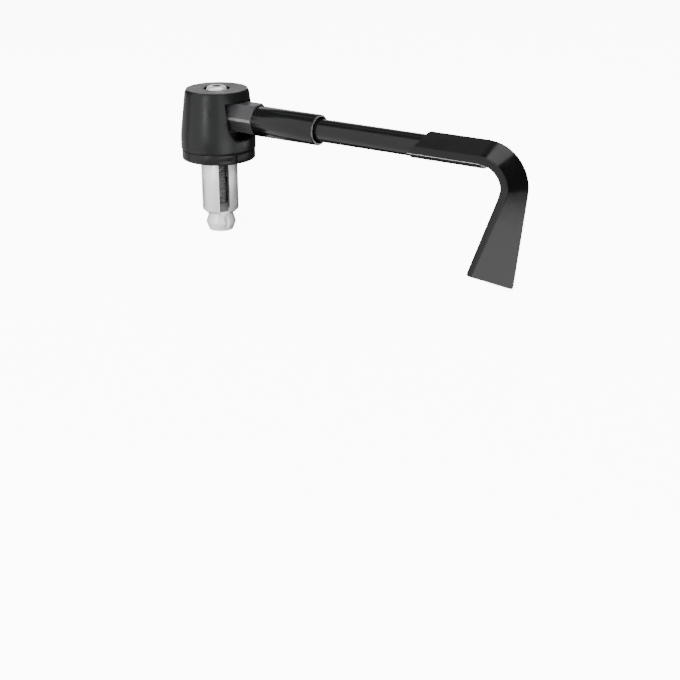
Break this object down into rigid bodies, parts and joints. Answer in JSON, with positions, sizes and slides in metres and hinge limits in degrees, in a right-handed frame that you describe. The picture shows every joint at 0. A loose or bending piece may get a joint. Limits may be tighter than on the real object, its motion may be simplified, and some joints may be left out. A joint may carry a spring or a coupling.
{
  "type": "motorcycle lever guard",
  "caption": "Bar-end lever guard: a clamp housing turns on an expanding collet, with a sleeve, a sliding rod and a bent blade that turns down in front of the lever.",
  "frame": {"origin": "centre of the seat face under the base disc, which meets the end of the handlebar", "axes": "+Z out of the bar along the clamp bolt, +X along the arm toward the blade, -Y toward the blade's front edge"},
  "size_m": [0.1797, 0.0404, 0.0683],
  "materials": {
    "black_moulding": "fine satin grain, black",
    "blade_plastic": "satin gloss, black",
    "black_anodised": "satin black anodised, fine turning marks",
    "bare_aluminium": "turned, bare",
    "zinc_steel": "zinc plated",
    "stainless_steel": "bright, bare",
    "black_steel": "black oxide"
  },
  "bodies": {
    "clamp": {"base_disc": "black_moulding", "collet": "bare_aluminium"},
    "head": {"housing": "black_moulding", "arm_neck": "black_anodised", "sleeve": "black_anodised", "lock_screw": "black_steel"},
    "slider": {"extension_rod": "black_anodised", "blade": "blade_plastic"},
    "bolt": {"clamp_bolt": "stainless_steel"},
    "wedge": {"wedge_nut": "zinc_steel"}
  },
  "joints": [
    {"name": "head_turn", "type": "hinge", "parent": "clamp", "child": "head", "pos_m": [0, 0, 0], "axis": [0, 0, 1], "continuous": true},
    {"name": "rod_slide", "type": "slide", "parent": "head", "child": "slider", "axis": [1, 0, 0], "range_m": [0, 0.012]},
    {"name": "bolt_turn", "type": "hinge", "parent": "clamp", "child": "bolt", "pos_m": [0, 0, 0], "axis": [0, 0, 1], "range_deg": [0, 720]},
    {"name": "wedge_slide", "type": "slide", "parent": "clamp", "child": "wedge", "axis": [0, 0, -1], "range_m": [0, 0.002]}
  ],
  "couplings": [
    {"joint": "wedge_slide", "follows": "bolt_turn", "m_per_rad": 0.00015915}
  ]
}
